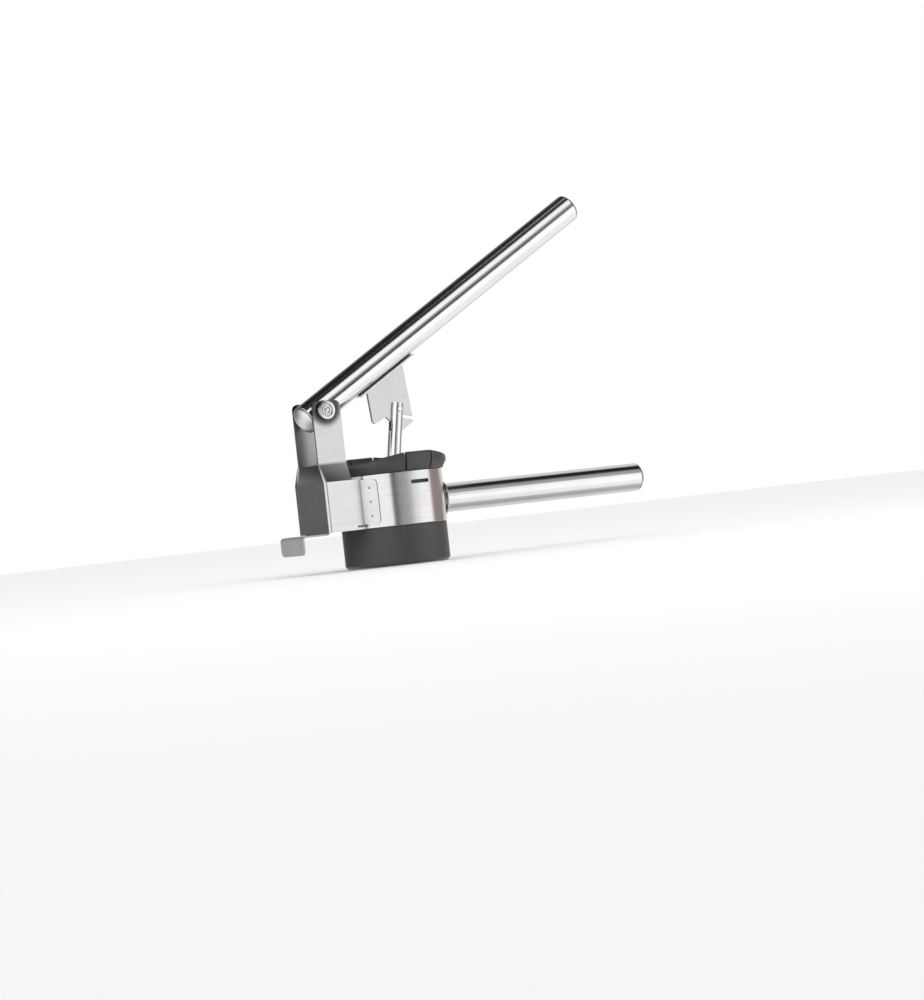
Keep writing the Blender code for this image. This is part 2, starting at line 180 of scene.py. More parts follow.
# The walls are lit to 20 degrees up and the ceiling is dark. The table lights everything from below.
TABLE_GREY = (0.85, 0.85, 0.85, 1)
level = card(elevation, (0, 0.45), (height_at(-62), 0.40), (height_at(-48), 0.50), (height_at(-40), 0.95),
             (height_at(-12), 1.0), (height_at(20), 1.0), (height_at(28), 0.34), (height_at(43), 0.30),
             (height_at(49), 0.04), (1, 0.05))
around = lay_over(around, TABLE_GREY, fade(elevation, height_at(-12), height_at(-24)))
bands = lay_over(around, level, blend="MULTIPLY")

# A black bar at eye height draws the dark line along the lever, and a high card the light one.
bar_across = card(turned_by, (bearing_at(28), 1.0), (bearing_at(36), 0.05), (bearing_at(62), 0.05),
                  (bearing_at(68), 1.0))
bar_up = card(elevation, (height_at(8), 1.0), (height_at(11), 0.05), (height_at(24), 0.05),
              (height_at(27), 1.0))
bar = sky.node("ShaderNodeMath", {"operation": "MAXIMUM"}, {0: bar_across, 1: bar_up})
bands = lay_over(bands, bar, blend="MULTIPLY")
high_across = card(turned_by, (bearing_at(12), 0.0), (bearing_at(24), 1.0), (bearing_at(56), 1.0),
                   (bearing_at(66), 0.0))
high_up = card(elevation, (height_at(34), 0.0), (height_at(38), 1.0), (height_at(62), 1.0),
               (height_at(68), 0.0))
bands = lay_over(bands, (0.9, 0.9, 0.9, 1), high_across * high_up)

# What stands behind the ricer is an even grey, which gives every tube a light far edge.
BACKDROP_GREY = (0.58, 0.58, 0.58, 1)
bands = lay_over(bands, BACKDROP_GREY, fade(bearing, math.radians(132), math.radians(156)))

# Only reflections see the cards. The camera and dull surfaces see plain white.
CARD_STRENGTH = 1.45
glow = sky.node("ShaderNodeBackground", inputs={"Color": bands, "Strength": CARD_STRENGTH})
plain = sky.node("ShaderNodeBackground", inputs={"Color": (1, 1, 1, 1), "Strength": 1.0})
seen = sky.node("ShaderNodeLightPath", output="Is Camera Ray")
scattered = sky.node("ShaderNodeLightPath", output="Is Diffuse Ray")
mixed = sky.node("ShaderNodeMixShader", inputs={0: seen + scattered, 1: glow, 2: plain})
sky.node("ShaderNodeOutputWorld", inputs={"Surface": mixed})

bpy.ops.object.light_add(type="AREA", location=towards * 1.0 + across * 0.7 + up * 1.3)
lamp = bpy.context.object
lamp.name = "soft_key"
lamp.data.size = 1.0
lamp.data.energy = 5
lamp.rotation_euler = (aim - lamp.location).to_track_quat("-Z", "Y").to_euler()
lamp.visible_glossy = False

bpy.ops.mesh.primitive_plane_add(size=7, location=(0, 0, -0.0003))
floor = bpy.context.object
floor.name = "studio_floor"
floor.visible_glossy = False
pale = bpy.data.materials.new("pale_floor")
pale.use_nodes = True
pale_shader = pale.node_tree.nodes["Principled BSDF"]
pale_shader.inputs["Base Color"].default_value = (0.93, 0.93, 0.93, 1)
pale_shader.inputs["Roughness"].default_value = 0.9
floor.data.materials.append(pale)


# ---------------------------------------------------------------------------------------------
# Collar: a ring of stainless strip, brushed round its girth, with a latch window at each side.
# The brushing leaves fine lines that run round the ring and a few longer, fainter ones.
# ---------------------------------------------------------------------------------------------
def start_material(name, metallic, roughness, ior=1.5):
    """A material with its shader's constants set; returns the material, its Finish and its shader."""
    made = bpy.data.materials.new(name)
    made.use_nodes = True
    shader = made.node_tree.nodes["Principled BSDF"]
    shader.inputs["Metallic"].default_value = metallic
    shader.inputs["Roughness"].default_value = roughness
    shader.inputs["IOR"].default_value = ior
    return made, Finish(made.node_tree), shader


def stretched_noise(finish, scale, detail=3.0):
    """Noise on the piece's own coordinates; a small scale along an axis draws it out along that axis."""
    place = finish.node("ShaderNodeTexCoord", output="Object")
    mapped = finish.node("ShaderNodeMapping", inputs={"Vector": place, "Scale": scale})
    return finish.node("ShaderNodeTexNoise", inputs={"Vector": mapped, "Scale": 1.0, "Detail": detail,
                                                     "Roughness": 0.6})


def ramp(finish, factor, *stops):
    return finish.node("ShaderNodeValToRGB", {"stops": list(stops)}, {0: factor})


def bump(finish, shader, height, strength, distance):
    normal = finish.node("ShaderNodeBump", inputs={"Strength": strength, "Distance": distance,
                                                   "Height": height})
    finish.feed(shader.inputs["Normal"], normal)


def brushed_steel(name, lines, colour=0.62, roughness=0.27, spread=0.0):
    """Satin steel: fine scratches drawn out along the brushing, and slow smudges over them.
    A spread above 0 smears reflections across lines that run round an upright axis."""
    made, finish, shader = start_material(name, 1.0, roughness)
    shader.inputs["Anisotropic"].default_value = spread
    shader.inputs["Anisotropic Rotation"].default_value = 0.25
    scratches = stretched_noise(finish, lines, 4.0)
    smudges = stretched_noise(finish, (45, 45, 45), 2.0)
    dark, light = colour * 0.86, colour * 1.08
    tone = scratches * 0.75 + smudges * 0.25
    finish.feed(shader.inputs["Base Color"],
                ramp(finish, tone, (0.32, (dark, dark * 0.985, dark * 0.97)), (0.68, (light, light, light))))
    finish.feed(shader.inputs["Roughness"], roughness - 0.04 + scratches * 0.06 + smudges * 0.03)
    bump(finish, shader, scratches, 0.05, 0.0001)
    return made


def deselect():
    bpy.ops.object.select_all(action="DESELECT")


def activate(piece):
    deselect()
    piece.select_set(True)
    bpy.context.view_layer.objects.active = piece


def apply_modifiers(piece):
    activate(piece)
    for modifier in list(piece.modifiers):
        bpy.ops.object.modifier_apply(modifier=modifier.name)


def dress(piece, body, slot, finish, *nodes):
    """Give a finished piece its material, hang it on its body and hide the frame solids it stands in for."""
    piece.data.materials.clear()
    piece.data.materials.append(finish)
    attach(piece, body)
    if nodes:
        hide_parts(*nodes)


def level_flats(piece):
    """Turn the shading of flat faces true, so that rounded edges don't tint them."""
    weighted = piece.modifiers.new("flats", "WEIGHTED_NORMAL")
    weighted.keep_sharp = True
    weighted.weight = 90
    apply_modifiers(piece)


def smooth_copy(node, name, edge=0.25 * MM, segments=2, angle=32, corner=40):
    """A copy of a frame solid with its loose faces joined, its edges rounded and its curves smooth."""
    deselect()
    piece = frame["nodes"][node].copy()
    piece.data = piece.data.copy()
    piece.name = name
    for key in list(piece.keys()):
        del piece[key]
    bpy.context.collection.objects.link(piece)
    piece.parent = None
    piece.matrix_world = Matrix.Identity(4)
    activate(piece)
    bpy.ops.object.mode_set(mode="EDIT")
    bpy.ops.mesh.select_all(action="SELECT")
    bpy.ops.mesh.remove_doubles(threshold=0.00001)
    bpy.ops.mesh.dissolve_limited(angle_limit=math.radians(0.6))
    bpy.ops.object.mode_set(mode="OBJECT")
    if edge:
        bevel = piece.modifiers.new("edges", "BEVEL")
        bevel.width = edge
        bevel.segments = segments
        bevel.limit_method = "ANGLE"
        bevel.angle_limit = math.radians(corner)
        apply_modifiers(piece)
    bpy.ops.object.shade_smooth_by_angle(angle=math.radians(angle))
    level_flats(piece)
    return piece


def copy_piece(piece, name):
    twin = piece.copy()
    twin.data = piece.data.copy()
    twin.name = name
    bpy.context.collection.objects.link(twin)
    return twin


def join(pieces, name):
    deselect()
    for piece in pieces:
        piece.select_set(True)
    bpy.context.view_layer.objects.active = pieces[0]
    bpy.ops.object.join()
    pieces[0].name = name
    return pieces[0]


def settle(piece, matrix):
    """Move the mesh itself, so that the object stays at the origin."""
    piece.data.transform(matrix)
    piece.matrix_world = Matrix.Identity(4)


def lathe(name, profile, segments=96, closed=True):
    """Turn (radius, height) points about Z: a circle is extruded and resized from point to point."""
    deselect()
    radius, level = profile[0]
    bpy.ops.mesh.primitive_circle_add(vertices=segments, radius=radius, location=(0, 0, level))
    piece = bpy.context.object
    piece.name = name
    bpy.ops.object.transform_apply(location=True)
    bpy.ops.object.mode_set(mode="EDIT")
    bpy.ops.mesh.select_mode(type="VERT")
    bpy.ops.mesh.select_all(action="SELECT")
    for next_radius, next_level in profile[1:]:
        bpy.ops.mesh.extrude_region_move(
            TRANSFORM_OT_translate={"value": (0, 0, next_level - level)})
        if next_radius == 0:
            bpy.ops.mesh.merge(type="CENTER")
            break
        scale = next_radius / radius
        bpy.ops.transform.resize(value=(scale, scale, 1), center_override=(0, 0, next_level))
        radius, level = next_radius, next_level
    if closed:
        bpy.ops.mesh.select_all(action="DESELECT")
        bpy.ops.mesh.select_non_manifold()
        if profile[0][0] and profile[-1][0]:
            bpy.ops.mesh.bridge_edge_loops()
        else:
            bpy.ops.mesh.edge_face_add()
    bpy.ops.mesh.select_all(action="SELECT")
    bpy.ops.mesh.normals_make_consistent(inside=False)
    bpy.ops.object.mode_set(mode="OBJECT")
    return piece


def block(name, low, high, edge=0.0, matrix=None):
    """A rectangular block between two corners, with its edges bevelled."""
    deselect()
    low, high = Vector(low), Vector(high)
    bpy.ops.mesh.primitive_cube_add(size=1, location=(low + high) / 2)
    piece = bpy.context.object
    piece.name = name
    piece.scale = high - low
    bpy.ops.object.transform_apply(location=True, scale=True)
    if edge:
        bpy.ops.object.mode_set(mode="EDIT")
        bpy.ops.mesh.select_all(action="SELECT")
        bpy.ops.mesh.bevel(offset=edge, segments=3, affect="EDGES")
        bpy.ops.object.mode_set(mode="OBJECT")
    if matrix:
        settle(piece, matrix)
    return piece


def carve(piece, cutters):
    """Cut a group of shapes out of a piece and throw the cutters away."""
    tool = join(cutters, "cutter")
    boolean = piece.modifiers.new("cut", "BOOLEAN")
    boolean.object = tool
    boolean.solver = "EXACT"
    apply_modifiers(piece)
    bpy.data.objects.remove(tool)


# The scratches run round the ring, so they smear its reflections up and down.
collar_steel = brushed_steel("collar_brushed_steel", (40, 40, 5200), 0.66, 0.24, 0.85)
collar_low, collar_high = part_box("collar_band")
COLLAR_R = collar_high.y
COLLAR_BORE = COLLAR_R - 1.0 * MM
COLLAR_FOOT, COLLAR_TOP = collar_low.z, collar_high.z
OUTER_EDGE, INNER_EDGE = 0.25 * MM, 0.2 * MM
collar = lathe("collar_ring", [
    (COLLAR_BORE, COLLAR_FOOT + INNER_EDGE), (COLLAR_BORE + INNER_EDGE, COLLAR_FOOT),
    (COLLAR_R - OUTER_EDGE, COLLAR_FOOT), (COLLAR_R, COLLAR_FOOT + OUTER_EDGE),
    (COLLAR_R, COLLAR_TOP - OUTER_EDGE), (COLLAR_R - OUTER_EDGE, COLLAR_TOP),
    (COLLAR_BORE + INNER_EDGE, COLLAR_TOP), (COLLAR_BORE, COLLAR_TOP - INNER_EDGE)], 144)
WINDOW_LOW = (-6.1 * MM, -60 * MM, 63.0 * MM)
WINDOW_HIGH = (10.9 * MM, 60 * MM, 66.0 * MM)
WINDOW_CORNER = 1.3 * MM
carve(collar, [block("window", WINDOW_LOW, WINDOW_HIGH, WINDOW_CORNER)])
activate(collar)
bpy.ops.object.shade_smooth_by_angle(angle=math.radians(30))
dress(collar, "body", "brushed_steel", collar_steel, "collar_band")


# ---------------------------------------------------------------------------------------------
# Yoke: one folded sheet of the same steel, brushed along its length before it was bent. Its
# flanges lie on the collar and are spot welded to it, three small dimples to a side.
# ---------------------------------------------------------------------------------------------
yoke_steel = brushed_steel("yoke_brushed_steel", (22, 22, 4200), 0.61, 0.28, 0.5)
yoke_finish = Finish(yoke_steel.node_tree)
yoke_shader = yoke_steel.node_tree.nodes["Principled BSDF"]
bare_colour = Signal(yoke_finish, yoke_shader.inputs["Base Color"].links[0].from_socket)
yoke_place = yoke_finish.node("ShaderNodeTexCoord", output="Object")
yoke_facing = yoke_finish.node("ShaderNodeNewGeometry", output="Normal")


def greater(first, second):
    return yoke_finish.node("ShaderNodeMath", {"operation": "MAXIMUM"}, {0: first, 1: second})


# Painted shade: the base colour is darkened on the inner faces of the sheet and on the slopes over the bends.
inward = yoke_finish.node("ShaderNodeSeparateXYZ", inputs={0: yoke_place}, output="Y") * \
    yoke_finish.node("ShaderNodeSeparateXYZ", inputs={0: yoke_facing}, output="Y")
inside = yoke_finish.node("ShaderNodeMath", {"operation": "LESS_THAN"}, {0: inward, 1: -4 * MM})
lean = yoke_finish.node("ShaderNodeSeparateXYZ", inputs={0: yoke_facing}, output="Z")
leaning = yoke_finish.node("ShaderNodeMapRange", inputs={"Value": lean, "From Min": 0.3, "From Max": 0.5})

# Painted shade: round the pivot the ears' base colour is darkened, from a little above the pin outwards.
joints = {joint["name"]: joint for joint in frame["joints"]}
pivot = Vector(joints["lever_hinge"]["pos_m"])
PIVOT_SHADE_LIFT = 2.4 * MM
PIVOT_SHADE_CORE_R, PIVOT_SHADE_EDGE_R = 11 * MM, 17.5 * MM
# How strongly each painted shade darkens the colour: inner faces, slopes, and round the pivot.
INSIDE_PAINTED_SHADE, SLOPE_PAINTED_SHADE, PIVOT_PAINTED_SHADE = 0.45, 0.75, 0.95
from_pivot = yoke_finish.node("ShaderNodeMapping", inputs={
    "Vector": yoke_place, "Location": (-pivot.x, 0, -pivot.z - PIVOT_SHADE_LIFT), "Scale": (1, 0, 1)})
pivot_gap = yoke_finish.node("ShaderNodeVectorMath", {"operation": "LENGTH"}, {0: from_pivot}, output="Value")
pivot_shade_mask = yoke_finish.node("ShaderNodeMapRange", {"interpolation_type": "SMOOTHSTEP"},
                         {"Value": pivot_gap, "From Min": PIVOT_SHADE_EDGE_R, "From Max": PIVOT_SHADE_CORE_R})
shaded = greater(greater(inside * INSIDE_PAINTED_SHADE, leaning * SLOPE_PAINTED_SHADE), pivot_shade_mask * PIVOT_PAINTED_SHADE)
# The painted shade masks mix the steel's own colour towards near black.
painted_shade_colour = yoke_finish.node("ShaderNodeMix", {"data_type": "RGBA"},
                                  {0: shaded, 6: bare_colour, 7: (0.05, 0.047, 0.045, 1)}, output=2)
yoke_finish.feed(yoke_shader.inputs["Base Color"], painted_shade_colour)
yoke = smooth_copy("rear_yoke", "folded_yoke", 0.2 * MM, 2, 35, 30)
dress(yoke, "body", "brushed_steel", yoke_steel, "rear_yoke")

WELD_TURN = math.radians(53.2)
WELD_R = 44.4 * MM
WELD_HEIGHTS = (40.9 * MM, 52.1 * MM, 63.1 * MM)
WELD_MARK_R = 0.8 * MM
WELD_SINK = 0.05 * MM               # how deep each mark sits in the flange


def spot_weld(name, radius):
    """A round pressed mark: a low rim about a shallow dimple with a burnt middle."""
    deselect()
    bpy.ops.mesh.primitive_cylinder_add(vertices=20, radius=radius, depth=0.3 * MM)
    mark = bpy.context.object
    mark.name = name
    bpy.ops.object.mode_set(mode="EDIT")
    bpy.ops.mesh.select_all(action="DESELECT")
    bpy.ops.object.mode_set(mode="OBJECT")
    cap = max(mark.data.polygons, key=lambda face: face.center.z)
    cap.select = True
    bpy.ops.object.mode_set(mode="EDIT")
    bpy.ops.mesh.select_mode(type="FACE")
    bpy.ops.mesh.inset(thickness=0.3 * MM, depth=0.06 * MM)
    bpy.ops.mesh.inset(thickness=0.25 * MM, depth=-0.12 * MM)
    bpy.ops.object.mode_set(mode="OBJECT")
    bpy.ops.object.shade_smooth_by_angle(angle=math.radians(50))
    return mark


weld_steel, weld_finish, weld_shader = start_material("weld_mark_steel", 1.0, 0.4)
weld_tint = stretched_noise(weld_finish, (900, 900, 900), 2.0)
weld_finish.feed(weld_shader.inputs["Base Color"],
                 ramp(weld_finish, weld_tint, (0.3, (0.10, 0.085, 0.08)), (0.75, (0.30, 0.28, 0.27))))

marks = []
for side in (-1, 1):
    for height_of_weld in WELD_HEIGHTS:
        outward = Vector((-math.sin(WELD_TURN), side * math.cos(WELD_TURN), 0))
        mark = spot_weld("yoke_weld", WELD_MARK_R)
        turn = up.rotation_difference(outward).to_matrix().to_4x4()
        settle(mark, Matrix.Translation(outward * (WELD_R - WELD_SINK) + up * height_of_weld) @ turn)
        marks.append(mark)
yoke_welds = join(marks, "yoke_weld_marks")
dress(yoke_welds, "body", "brushed_steel", weld_steel)


# ---------------------------------------------------------------------------------------------
# Pot rest: a strip of blasted steel, bent twice, whose tab is welded inside the rear wall. The
# bent lip hooks over a pot's rim. Its surface is dull and even, with no brushing lines.
# ---------------------------------------------------------------------------------------------
rest_steel, rest_finish, rest_shader = start_material("blasted_steel", 0.75, 0.6)
grain = stretched_noise(rest_finish, (2600, 2600, 2600), 3.0)
cloud = stretched_noise(rest_finish, (60, 60, 60), 2.0)
rest_finish.feed(rest_shader.inputs["Base Color"],
                 ramp(rest_finish, grain * 0.5 + cloud * 0.5, (0.3, (0.50, 0.495, 0.50)),
                      (0.7, (0.60, 0.595, 0.60))))
rest_finish.feed(rest_shader.inputs["Roughness"], cloud * 0.12 + 0.54)
bump(rest_finish, rest_shader, grain, 0.25, 0.0002)
pot_rest = smooth_copy("pot_rest", "pot_rest_hook", 0.3 * MM, 3, 40)
dress(pot_rest, "body", "blasted_steel", rest_steel, "pot_rest")


# ---------------------------------------------------------------------------------------------
# Cup: black moulded plastic, pushed up through the collar. Its foot carries the sieve, its waist
# is hidden in the collar, and its rim is slit into tongues that spring out over the collar's top.
# ---------------------------------------------------------------------------------------------
cup_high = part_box("insert_cup")[1]
RIM_R = cup_high.x
FOOT_R = 42.2 * MM
NECK_R = 41.2 * MM
BORE_R = 38.8 * MM
foot_curve = [(FOOT_R - 3.4 * MM + 3.4 * MM * math.sin(a), 3.4 * MM - 3.4 * MM * math.cos(a))
              for a in [math.radians(15 * i) for i in range(7)]]
shoulder = [(43.5 * MM, COLLAR_TOP + 0.3 * MM), (43.9 * MM, COLLAR_TOP + 0.6 * MM),
            (44.8 * MM, COLLAR_TOP + 2.6 * MM), (45.7 * MM, COLLAR_TOP + 4.8 * MM),
            (46.4 * MM, COLLAR_TOP + 6.8 * MM), (RIM_R, COLLAR_TOP + 8.8 * MM)]
crown = [(RIM_R - 1.9 * MM + 1.9 * MM * math.cos(a), cup_high.z - 1.9 * MM + 1.9 * MM * math.sin(a))
         for a in [math.radians(15 * i) for i in range(7)]]
bore = [(42.8 * MM, cup_high.z - 0.5 * MM), (41.8 * MM, cup_high.z - 3 * MM), (40.6 * MM, 79 * MM),
        (39.2 * MM, 75 * MM), (BORE_R, 72 * MM), (BORE_R, 1.5 * MM), (BORE_R - 3 * MM, 1.5 * MM)]
cup_profile = [(BORE_R - 3 * MM, 0), *foot_curve, (FOOT_R, 16 * MM), (FOOT_R, COLLAR_FOOT - 0.6 * MM),
               (FOOT_R - 0.3 * MM, COLLAR_FOOT - 0.3 * MM), (NECK_R, COLLAR_FOOT - 0.3 * MM),
               (NECK_R, COLLAR_TOP + 0.3 * MM),
               *shoulder, *crown, *bore]
cup = lathe("moulded_cup", cup_profile, 120)

TONGUE_SLIT = 1.7 * MM
REAR_SLIT = 1.6 * MM
RIM_DROP = 6.4 * MM                 # how much lower the rim is at the front and the rear
TONGUE_TURN = -2                    # the tongue's middle, in degrees from the near side to the rear
TONGUE_HALF = 15
for vertex in cup.data.vertices:
    rise = (vertex.co.z - COLLAR_TOP - 3 * MM) / (cup_high.z - COLLAR_TOP - 3 * MM)
    if rise > 0:
        side_turn = math.degrees(math.atan2(-vertex.co.x, abs(vertex.co.y)))
        away = abs(side_turn - TONGUE_TURN)
        fall = 0.7 * min(max((away - TONGUE_HALF) / 38, 0), 1) + 0.3 * min(max((away - 50) / 30, 0), 1)
        vertex.co.z -= RIM_DROP * rise * fall


def rim_slit(turn, width, floor_level):
    """A slit through the rim at an angle round from the near side towards the rear."""
    slit = block("rim_slit", (-width / 2, -50 * MM, floor_level), (width / 2, -37.5 * MM, 100 * MM))
    settle(slit, Matrix.Rotation(-math.radians(turn), 4, "Z"))
    return slit


slits = []
for turn in (TONGUE_TURN + TONGUE_HALF, TONGUE_TURN - TONGUE_HALF, -62):
    slits += [rim_slit(turn, TONGUE_SLIT, COLLAR_TOP + 0.7 * MM),
              rim_slit(180 - turn, TONGUE_SLIT, COLLAR_TOP + 0.7 * MM)]
slits += [rim_slit(53, REAR_SLIT, 83.2 * MM), rim_slit(180 - 53, REAR_SLIT, 83.2 * MM)]

# Behind each of the collar's windows the plastic is hollowed almost through to the bore.
POCKET_IN, POCKET_OUT = 39.4 * MM, 46 * MM
window_pockets = [block("window_pocket", (-7.5 * MM, near_y, 62 * MM), (12.5 * MM, far_y, 67 * MM))
                  for near_y, far_y in ((-POCKET_OUT, -POCKET_IN), (POCKET_IN, POCKET_OUT))]
carve(cup, slits + window_pockets)
soft = cup.modifiers.new("edges", "BEVEL")
soft.width = 0.35 * MM
soft.segments = 2
soft.limit_method = "ANGLE"
soft.angle_limit = math.radians(50)
apply_modifiers(cup)
activate(cup)
bpy.ops.object.shade_smooth_by_angle(angle=math.radians(35))

cup_plastic, cup_finish, cup_shader = start_material("black_moulded_plastic", 0.0, 0.42)
mould_grain = stretched_noise(cup_finish, (2200, 2200, 2200), 3.0)
scuff = stretched_noise(cup_finish, (70, 70, 22), 3.0)
cup_finish.feed(cup_shader.inputs["Base Color"],
                ramp(cup_finish, scuff, (0.3, (0.036, 0.036, 0.037)), (0.7, (0.048, 0.048, 0.049))))
cup_finish.feed(cup_shader.inputs["Roughness"], 0.36 + scuff * 0.16)
bump(cup_finish, cup_shader, mould_grain, 0.10, 0.0002)
dress(cup, "body", "black_plastic", cup_plastic, "insert_cup")


# ---------------------------------------------------------------------------------------------
# Sieve: a dished disc of thin steel, punched with round holes in a close triangular pattern. It
# lies on the ledge in the cup's foot, and its middle is level with the bottom of the foot.
# ---------------------------------------------------------------------------------------------
HOLE_R = 1.35 * MM
HOLE_PITCH = 3.7 * MM
HOLE_FIELD_R = 32.5 * MM
HOLE_COLUMNS = 10
dish = [(38.4 * MM, 1.9 * MM), (38.4 * MM, 2.5 * MM), (35.0 * MM, 2.5 * MM), (34.2 * MM, 2.0 * MM),
        (33.6 * MM, 0.8 * MM), (0, 0.8 * MM)]
sieve = lathe("dish_top", dish, 72, closed=False)
underside = lathe("dish_underside", [(38.4 * MM, 1.9 * MM), (35.4 * MM, 1.9 * MM), (34.9 * MM, 1.4 * MM),
                                     (34.3 * MM, 0.0), (0, 0.0)], 72, closed=False)
sieve = join([sieve, underside], "pierced_sieve")
bpy.ops.object.mode_set(mode="EDIT")
bpy.ops.mesh.select_all(action="SELECT")
bpy.ops.mesh.remove_doubles(threshold=0.00001)
bpy.ops.mesh.normals_make_consistent(inside=False)
bpy.ops.object.mode_set(mode="OBJECT")
punches = []
rows = int(HOLE_FIELD_R / (HOLE_PITCH * math.sqrt(0.75)))
deselect()
bpy.ops.mesh.primitive_cylinder_add(vertices=12, radius=HOLE_R, depth=4 * MM)
punch = bpy.context.object
for row in range(-rows, rows + 1):
    row_y = row * HOLE_PITCH * math.sqrt(0.75)
    shift = HOLE_PITCH / 2 if row % 2 else 0
    for column in range(-HOLE_COLUMNS, HOLE_COLUMNS + 1):
        hole = Vector((column * HOLE_PITCH + shift, row_y, 0))
        if hole.length < HOLE_FIELD_R:
            twin = copy_piece(punch, "punch")
            twin.data.transform(Matrix.Translation(hole))
            punches.append(twin)
bpy.data.objects.remove(punch)
carve(sieve, punches)
activate(sieve)
bpy.ops.object.shade_smooth_by_angle(angle=math.radians(40))
sieve_steel = brushed_steel("sieve_steel", (700, 700, 700), 0.60, 0.30)
dress(sieve, "body", "brushed_steel", sieve_steel, "sieve_disc")


# ---------------------------------------------------------------------------------------------
# Lower handle: a polished tube on a round flange that is curved to sit on the collar, with a
# domed cap pressed into its far end. A thin bead of weld runs round the tube at the flange.
# ---------------------------------------------------------------------------------------------
def polished_steel(name, along, roughness=0.13):
    """Polished tube: nearly mirror bright, with faint drawing lines along the tube and light smears."""
    made, finish, shader = start_material(name, 1.0, roughness)
    drawn = stretched_noise(finish, along, 3.0)
    smear = stretched_noise(finish, (30, 30, 30), 3.0)
    finish.feed(shader.inputs["Base Color"],
                ramp(finish, drawn * 0.5 + smear * 0.5, (0.3, (0.66, 0.65, 0.64)), (0.7, (0.76, 0.755, 0.75))))
    finish.feed(shader.inputs["Roughness"], roughness - 0.03 + drawn * 0.03 + smear * 0.05)
    bump(finish, shader, drawn, 0.04, 0.0002)
    return made


def tube_profile(low, high, outer, wall, edge=0.25 * MM):
    return [(outer - wall, low), (outer - edge, low), (outer, low + edge), (outer, (low + high) / 2),
            (outer, high - edge), (outer - edge, high), (outer - wall, high)]


TUBE_WALL = 1.0 * MM
handle_low, handle_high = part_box("handle_tube")
handle_r = (handle_high.z - handle_low.z) / 2
handle_axis = (handle_high.z + handle_low.z) / 2
handle = lathe("lower_handle", tube_profile(handle_low.x, handle_high.x, handle_r, TUBE_WALL), 96)
lay_handle = Matrix.Translation((0, 0, handle_axis)) @ Matrix.Rotation(math.pi / 2, 4, "Y")
settle(handle, lay_handle)
activate(handle)
bpy.ops.object.shade_smooth_by_angle(angle=math.radians(30))
handle_steel = polished_steel("handle_polished_steel", (12, 1500, 1500))
dress(handle, "body", "polished_steel", handle_steel, "handle_tube")
flange = smooth_copy("handle_flange", "handle_base_flange", 0.35 * MM)
flange_steel = brushed_steel("flange_steel", (1200, 60, 60), 0.6, 0.25)
dress(flange, "body", "brushed_steel", flange_steel, "handle_flange")
handle_cap = smooth_copy("handle_end_cap", "handle_end_dome", 0.2 * MM, 2, 40)
dress(handle_cap, "body", "brushed_steel", handle_steel, "handle_end_cap")
deselect()
bpy.ops.mesh.primitive_torus_add(major_radius=handle_r - 0.1 * MM, minor_radius=0.55 * MM,
                                 major_segments=72, minor_segments=10)
bead = bpy.context.object
bead.name = "handle_weld_bead"
for vertex in bead.data.vertices:
    turn = math.atan2(vertex.co.y, vertex.co.x)
    vertex.co.z += 0.08 * MM * math.sin(36 * turn)
BEAD_INSET = 0.1 * MM
at_handle_root = Matrix.Translation((handle_low.x + BEAD_INSET, 0, handle_axis))
settle(bead, at_handle_root @ Matrix.Rotation(math.pi / 2, 4, "Y"))
activate(bead)
bpy.ops.object.shade_smooth_by_angle(angle=math.radians(60))
dress(bead, "body", "brushed_steel", weld_steel)


# ---------------------------------------------------------------------------------------------
# Lever: a long polished tube hung on the yoke's ears. Both ends are closed by pressed domes, and
# a cross sleeve is welded through it for the pivot pin.
# ---------------------------------------------------------------------------------------------
LEVER_TURN = math.radians(29.7)
LEVER_R = 11.7 * MM
LEVER_REAR = -11.0 * MM
LEVER_FRONT = 303.0 * MM
lever_frame = Matrix.Translation(pivot) @ Matrix.Rotation(-LEVER_TURN, 4, "Y")
along_lever = lever_frame @ Matrix.Rotation(math.pi / 2, 4, "Y")
lever = lathe("lever_arm", tube_profile(LEVER_REAR, LEVER_FRONT, LEVER_R, TUBE_WALL), 96)
deselect()
bpy.ops.mesh.primitive_cylinder_add(vertices=40, radius=5.8 * MM, depth=60 * MM)
sleeve_hole = bpy.context.object
settle(sleeve_hole, Matrix.Rotation(math.pi / 2, 4, "X"))
carve(lever, [sleeve_hole])
settle(lever, along_lever)
activate(lever)
bpy.ops.object.shade_smooth_by_angle(angle=math.radians(30))
lever_steel = polished_steel("lever_polished_steel", (400, 1500, 400))
dress(lever, "lever", "polished_steel", lever_steel, "lever_tube")
dome_steel = brushed_steel("dome_satin_steel", (300, 300, 300), 0.72, 0.42)
for node, name in (("lever_front_cap", "lever_front_dome"), ("lever_rear_cap", "lever_rear_dome")):
    dome = smooth_copy(node, name, 0.2 * MM, 2, 40)
    dress(dome, "lever", "polished_steel", dome_steel, node)


